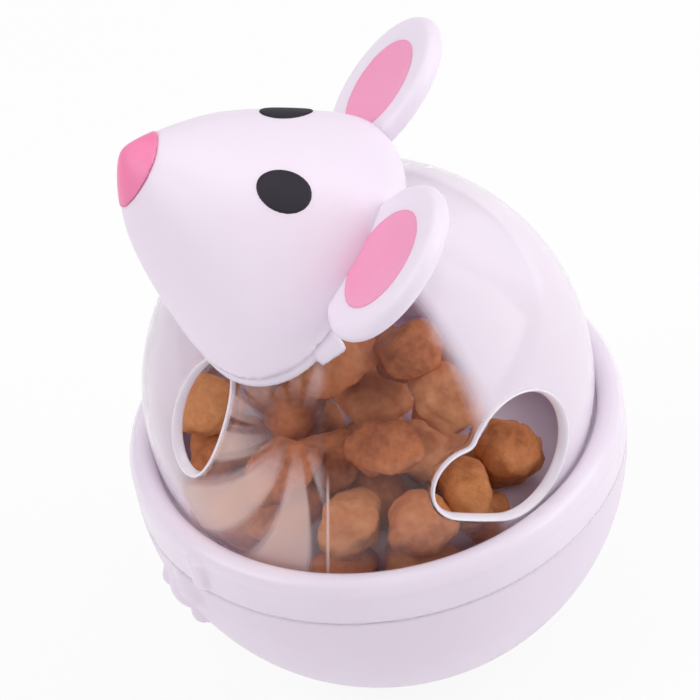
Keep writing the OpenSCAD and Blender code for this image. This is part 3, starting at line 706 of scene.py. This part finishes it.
# Eyes: thin matte ovals that follow the head
eye = {"at": (10.5, 7.5, 15), "turn": (24, 10), "halfShort": 3.75, "halfLong": 4.6, "spin": -27,
       "proud": 0.2, "depth": 1,
       "cell": 0.3}
eyePitch = Matrix.Rotation(math.radians(-eye["turn"][1]), 3, "X")
eyeTurn = eyePitch @ Matrix.Rotation(math.radians(eye["turn"][0]), 3, "Y")
eyeTurn = np.array(eyeTurn @ Matrix.Rotation(math.radians(eye["spin"]), 3, "Z"))
eyePoint = neckSeat + np.array(eye["at"])


def eyeField(p):
    q = (p - eyePoint) @ eyeTurn
    short, long = eye["halfShort"], eye["halfLong"]
    oval = (lengthOf(q[..., 0] / short, q[..., 1] / long) - 1) * short
    surface = headField(p)
    return np.maximum(softMax(oval, surface - eye["proud"], 0.35), -surface - eye["depth"])


eyeLeft = skinField("eyeLeft", eyeField, eyePoint - 7, eyePoint + 7, eye["cell"])
eyeRight = mirrorPiece(eyeLeft, "eyeRight")
dress(eyeLeft, "head", "eye_left", eyePlastic)
dress(eyeRight, "head", "eye_right", eyePlastic)
print("eyes made")

# Ears: thick soft discs with a shallow dish and a pink inlay
ear = {"at": (22.9, 22.9, 8.1), "lean": 42.5, "radius": 13.8, "thick": 3.4, "dishRadius": 9.8,
       "dishDepth": 1.1, "inlayRadius": 8.8,
       "inlayThick": 0.8, "inlayProud": 0.1, "cell": 0.45}
earTurn = np.array(Matrix.Rotation(math.radians(ear["lean"]), 3, "X"))
earPoint = neckSeat + np.array(ear["at"])
dishBall = (ear["dishRadius"] ** 2 + ear["dishDepth"] ** 2) / (2 * ear["dishDepth"])


def dishOver(q):
    # distance above the dished front of the ear
    return dishBall - lengthOf(q[..., 0], q[..., 1],
                               q[..., 2] - ear["thick"] / 2 - dishBall + ear["dishDepth"])


def earField(p):
    q = (p - earPoint) @ earTurn
    rho, half = lengthOf(q[..., 0], q[..., 1]), ear["thick"] / 2
    disc = lengthOf(np.maximum(rho - ear["radius"] + half, 0), q[..., 2]) - half
    return softMax(softMax(disc, dishOver(q), 0.8), -headField(p) - 0.8, 0.3)


def inlayField(p):
    q = (p - earPoint) @ earTurn
    rho, over = lengthOf(q[..., 0], q[..., 1]), dishOver(q)
    layer = softMax(over - ear["inlayProud"], -over - ear["inlayThick"], 0.2)
    return np.maximum(softMax(layer, rho - ear["inlayRadius"], 0.25), -headField(p) - 0.5)


earLeft = skinField("earLeft", earField, earPoint - 16, earPoint + 16, ear["cell"])
inlayLeft = skinField("earInlayLeft", inlayField, earPoint - 11, earPoint + 11, 0.3)
earRight, inlayRight = mirrorPiece(earLeft, "earRight"), mirrorPiece(inlayLeft, "earInlayRight")
dress(earLeft, "head", "ear_left", earPlastic)
dress(earRight, "head", "ear_right", earPlastic)
dress(inlayLeft, "head", "ear_inlay_left", inlayPlastic)
dress(inlayRight, "head", "ear_inlay_right", inlayPlastic)
print("ears made", len(earLeft.data.polygons))

# Kibble: lumpy pressed pieces where the CAD pieces lie
kibble = {"radius": 6.4, "thick": 9, "gap": 0.8, "layerGap": 0.2, "trayTop": 37, "trayRadius": 68,
          "seed": 7,
          "waves": [(1.1, 7), (0.9, 3.2), (0.35, 1.3)],  # height and size of lumps, dents and crumbs
          "flats": 9, "flatDepth": (0.74, 0.98),  # how many flats press a piece, and how near its middle
          "rings": [(0, 0, 0, 0, 1), (0, 1, 0, 60, 6), (0, 2, -195, 30, 10), (1, 0, 0, 0, 1),
                    (1, 1, -150, 60, 4),
                    (1, 2, -165, 30, 9), (1.8, 1.5, -120, 120, 2), (2, 1.5, -80, 40, 2), (2, 1.5, 40, 0, 1),
                    (2, 0.5, -90, 180, 2), (3, 0.75, -45, 90, 2)],
          # pieces that settled a little away from their place in the rings
          "settled": {12: (-3.2, -5.2, 4.5), 16: (-3.5, -4.3, 1.2), 24: (-1, -2.6, 0),
                      25: (-1, -1.9, 1.4), 26: (1.3, 3.8, -2.1), 27: (-0.7, 3.2, 0.3),
                      29: (1.4, -3.9, -1), 30: (1.6, -3.8, -1.3), 32: (-1.1, 2.4, 1), 33: (0, -7, -1.2),
                      34: (2.8, -1.3, -3.1), 35: (-2.5, 0.4, 2.8), 38: (1.1, 3.4, -1.5),
                      39: (0.6, 1.3, -0.8)}}


def pieceBall(level):
    mesh = bpy.data.meshes.new("kibbleBall")
    ball = bmesh.new()
    bmesh.ops.create_icosphere(ball, subdivisions=level, radius=1)
    ball.to_mesh(mesh)
    ball.free()
    points = np.array([v.co for v in mesh.vertices])
    faces = np.array([f.vertices[:] for f in mesh.polygons])
    bpy.data.meshes.remove(mesh)
    return points, faces


def kibblePile():
    draw = np.random.default_rng(kibble["seed"])
    ball, faces = pieceBall(4)
    pitch = 2 * kibble["radius"] + kibble["gap"]
    points, allFaces, half = [], [], kibble["thick"] / 2
    for layer, ring, first, step, count in kibble["rings"]:
        height = half + 0.05 + layer * (kibble["thick"] + kibble["layerGap"])
        lean = math.asin(ring * pitch / (kibble["trayRadius"] + height))
        for i in range(count):
            turn = Matrix.Rotation(math.radians(first + i * step), 3, "Z") @ Matrix.Rotation(lean, 3, "Y")
            centre = turn @ Vector((0, 0, kibble["trayRadius"] + height))
            centre += Vector(kibble["settled"].get(len(points), (0, 0, 0)))
            centre.z += kibble["trayTop"] - kibble["trayRadius"]
            nod = Matrix.Rotation(draw.uniform(-0.4, 0.4), 3, "X")
            tilt = nod @ Matrix.Rotation(draw.uniform(-0.4, 0.4), 3, "Y")
            spin = Matrix.Rotation(draw.uniform(0, math.tau), 3, "Z")
            axes = np.array([kibble["radius"] * draw.uniform(0.98, 1.1),
                             kibble["radius"] * draw.uniform(0.78, 0.92),
                             half * draw.uniform(0.86, 1)])
            # a pressed nugget: a ball with soft flats all round
            flats = draw.normal(size=(kibble["flats"], 3))
            flats /= np.linalg.norm(flats, axis=1, keepdims=True)
            pressed = np.maximum(ball @ flats.T, 0) / draw.uniform(*kibble["flatDepth"], kibble["flats"])
            shape = ball * (0.3 + (pressed ** 10).sum(1, keepdims=True)) ** -0.1 * axes
            away = Vector(draw.uniform(-50, 50, 3))
            swell = [sum(high * noise.noise(Vector(s) / wide + away) for high, wide in kibble["waves"])
                     for s in shape]
            shape = shape + ball * np.array(swell)[:, None]
            placed = shape @ np.array(turn @ tilt @ spin).T + np.array(centre)
            allFaces.append(faces + sum(len(p) for p in points))
            points.append(placed)
    return np.concatenate(points), np.concatenate(allFaces)


pilePiece = meshPiece("kibblePile", *kibblePile())
dress(pilePiece, "base", "treats", kibbleCrumb)
print("kibble made", len(pilePiece.data.polygons))

# CAD nodes whose shape is right keep it and get their finish
for node, material in (("treat_tray", trayPlastic), ("counterweight", weightSteel),
                       ("base_screw", screwSteel),
                       ("head_screw", screwSteel)):
    nodes[node].data.materials.clear()
    nodes[node].data.materials.append(material)
print("CAD nodes dressed")

# Stage: white floor, soft lights and the photo's camera
stage = {"floorSize": 4, "floorWhite": 0.88, "world": 0.54, "room": 0.3, "inside": 0.9,
         "worldTint": "#FBF8FD"}
floorMesh = bpy.data.meshes.new("floor")
half = stage["floorSize"] / 2
floorMesh.from_pydata([(-half, -half, 0), (half, -half, 0), (half, half, 0), (-half, half, 0)], [],
                      [(0, 1, 2, 3)])
floor = bpy.data.objects.new("floor", floorMesh)
bpy.context.scene.collection.objects.link(floor)
floorPaper, tree = startMaterial("white paper sweep")
path = addNode(tree, "ShaderNodeLightPath")
seen = addNode(tree, "ShaderNodeMath", {0: path.outputs["Is Camera Ray"], 1: path.outputs["Is Glossy Ray"]},
               operation="MAXIMUM")
seen = addNode(tree, "ShaderNodeMath", {0: seen.outputs[0], 1: path.outputs["Is Transmission Ray"]},
               operation="MAXIMUM")
share = addNode(tree, "ShaderNodeMath", {0: seen.outputs[0], 1: stage["floorWhite"]}, operation="MULTIPLY")
paper = addNode(tree, "ShaderNodeBsdfDiffuse", {"Color": linearColour("#F7F5F8")})
glow = addNode(tree, "ShaderNodeEmission", {"Color": (1, 1, 1, 1), "Strength": 1})
both = addNode(tree, "ShaderNodeMixShader", {0: share.outputs[0], 1: paper.outputs[0], 2: glow.outputs[0]})
addNode(tree, "ShaderNodeOutputMaterial", {"Surface": both.outputs[0]})
floorMesh.materials.append(floorPaper)

world = bpy.data.worlds.new("studio")
bpy.context.scene.world = world
world.use_nodes = True
tree = world.node_tree
tree.nodes.clear()
path = addNode(tree, "ShaderNodeLightPath")
level = addNode(tree, "ShaderNodeMath",
                {0: path.outputs["Is Glossy Ray"], 1: stage["room"] - stage["world"],
                                         2: stage["world"]}, operation="MULTIPLY_ADD")
level = addNode(tree, "ShaderNodeMath",
                {0: path.outputs["Is Transmission Ray"], 1: stage["inside"] - stage["world"],
                                         2: level.outputs[0]}, operation="MULTIPLY_ADD")
ambient = addNode(tree, "ShaderNodeBackground", {"Color": linearColour(stage["worldTint"]),
                                                 "Strength": level.outputs[0]})
white = addNode(tree, "ShaderNodeBackground", {"Color": (1, 1, 1, 1), "Strength": 1})
both = addNode(tree, "ShaderNodeMixShader", {0: path.outputs["Is Camera Ray"], 1: ambient.outputs[0],
                                             2: white.outputs[0]})
addNode(tree, "ShaderNodeOutputWorld", {"Surface": both.outputs[0]})

lamps = {"key": {"at": (0.25, -0.75, 0.85), "size": 0.7, "power": 3.6},
         "top": {"at": (-0.3, 0.1, 1.1), "size": 0.9, "power": 2.4},
         "side": {"at": (0.05, 0.9, 0.55), "size": 0.8, "power": 4.6}}
aim = Vector((0, 0, 0.06))
for name, lamp in lamps.items():
    light = bpy.data.lights.new(name, "AREA")
    light.size, light.energy = lamp["size"], lamp["power"]
    holder = bpy.data.objects.new(name, light)
    holder.location = lamp["at"]
    holder.rotation_euler = (aim - Vector(lamp["at"])).to_track_quat("-Z", "Y").to_euler()
    bpy.context.scene.collection.objects.link(holder)

photoView = {"azimuth": 97, "elevation": 40.4, "roll": 10.7, "distance": 0.52, "lens": 156.8,
             "target": (-0.003, -0.0024, 0.05985)}
a, e = math.radians(photoView["azimuth"]), math.radians(photoView["elevation"])
back = Vector((math.sin(a) * math.cos(e), -math.cos(a) * math.cos(e), math.sin(e)))
camera = bpy.data.cameras.new("photoCamera")
camera.lens, camera.sensor_width = photoView["lens"], 36
eyePlace = bpy.data.objects.new("photoCamera", camera)
level = back.to_track_quat("Z", "Y").to_matrix()
turned = level @ Matrix.Rotation(math.radians(-photoView["roll"]), 3, "Z")
cameraAt = Vector(photoView["target"]) + photoView["distance"] * back
eyePlace.matrix_world = Matrix.Translation(cameraAt) @ turned.to_4x4()
bpy.context.scene.collection.objects.link(eyePlace)
bpy.context.scene.camera = eyePlace
bpy.context.scene.view_settings.view_transform = "Standard"
print("stage set")
